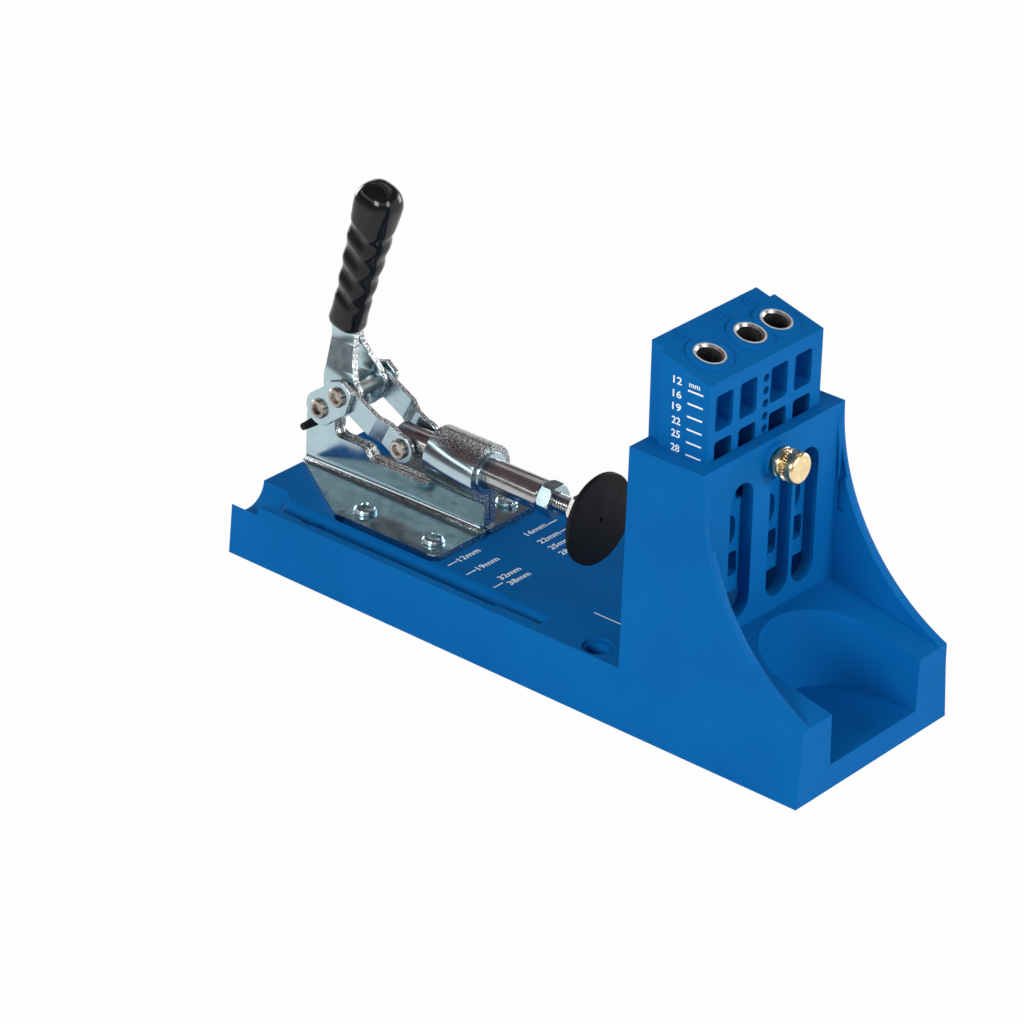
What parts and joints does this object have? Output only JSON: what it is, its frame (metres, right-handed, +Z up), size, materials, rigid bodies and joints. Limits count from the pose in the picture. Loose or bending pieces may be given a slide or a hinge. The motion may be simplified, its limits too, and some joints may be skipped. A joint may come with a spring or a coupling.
{
  "type": "pocket_hole_jig",
  "caption": "Blue pocket hole jig: sliding guide block with three tilted steel bushings on a scale, brass lock knob, chip pocket and a push-pull toggle clamp with a rubber pad.",
  "frame": {"origin": "centre of the bounding box of the footprint, on the bench plane", "axes": "+X from the clamp end to the chip pocket, +Y to the rear, +Z up"},
  "size_m": [0.29, 0.0928, 0.1606],
  "materials": {
    "blue_plastic": "moulded, slightly grained satin blue",
    "zinc_steel": "zinc-plated stamped sheet, bright with faint mottling",
    "bright_steel": "turned and polished steel",
    "bushing_steel": "hardened ground steel, slightly dark",
    "brass": "turned and knurled brass",
    "black_rubber": "matte moulded rubber",
    "black_vinyl": "dipped glossy vinyl"
  },
  "bodies": {
    "frame": {"base_body": "blue_plastic", "knob_insert": "brass", "bracket_half_front": "zinc_steel", "bracket_half_rear": "zinc_steel", "barrel_sleeve": "zinc_steel", "bracket_screws": "zinc_steel", "bracket_nuts": "zinc_steel", "stop_bumper": "black_rubber"},
    "block": {"guide_block": "blue_plastic", "drill_bushing_a": "bushing_steel", "drill_bushing_b": "bushing_steel", "drill_bushing_c": "bushing_steel"},
    "knob": {"lock_knob": "brass"},
    "handle": {"handle_plate_front": "zinc_steel", "handle_plate_rear": "zinc_steel", "handle_grip": "black_vinyl", "ear_plate_front": "zinc_steel", "ear_plate_rear": "zinc_steel", "frame_pivot_rivet": "zinc_steel", "link_pivot_rivet": "zinc_steel", "pivot_spacers": "zinc_steel", "handle_spacer": "zinc_steel"},
    "rod": {"plunger": "bright_steel", "plunger_rivet": "zinc_steel"},
    "links": {"link_front": "zinc_steel", "link_rear": "zinc_steel"},
    "screw": {"spindle": "bright_steel", "pad_nut": "bright_steel"},
    "pad": {"clamp_pad": "black_rubber"},
    "jam": {"jam_nut": "bright_steel"}
  },
  "joints": [
    {"name": "block_slide", "type": "slide", "parent": "frame", "child": "block", "axis": [0, 0, 1], "range_m": [-0.0262, 0.01572]},
    {"name": "knob_turn", "type": "hinge", "parent": "frame", "child": "knob", "pos_m": [0.1, 0, 0.1093], "axis": [1, 0, 0], "continuous": true},
    {"name": "handle_swing", "type": "hinge", "parent": "frame", "child": "handle", "pos_m": [-0.1246, 0, 0.0603], "axis": [0, -1, 0], "range_deg": [-47, 55]},
    {"name": "rod_slide", "type": "slide", "parent": "frame", "child": "rod", "axis": [1, 0, 0], "range_m": [-0.00885, 0.00757]},
    {"name": "link_swing", "type": "hinge", "parent": "rod", "child": "links", "pos_m": [-0.086, 0, 0.0537], "axis": [0, 1, 0], "range_deg": [-9.6, 11.2]},
    {"name": "screw_slide", "type": "slide", "parent": "rod", "child": "screw", "axis": [1, 0, 0], "range_m": [-0.004, 0.026]},
    {"name": "pad_turn", "type": "hinge", "parent": "screw", "child": "pad", "pos_m": [0.005, 0, 0.0537], "axis": [1, 0, 0], "continuous": true},
    {"name": "jam_turn", "type": "hinge", "parent": "rod", "child": "jam", "pos_m": [-0.0137, 0, 0.0537], "axis": [1, 0, 0], "continuous": true}
  ],
  "couplings": [
    {"joint": "rod_slide", "follows": "handle_swing", "m_per_rad": -0.009167},
    {"joint": "link_swing", "follows": "handle_swing", "ratio": 0.2}
  ]
}
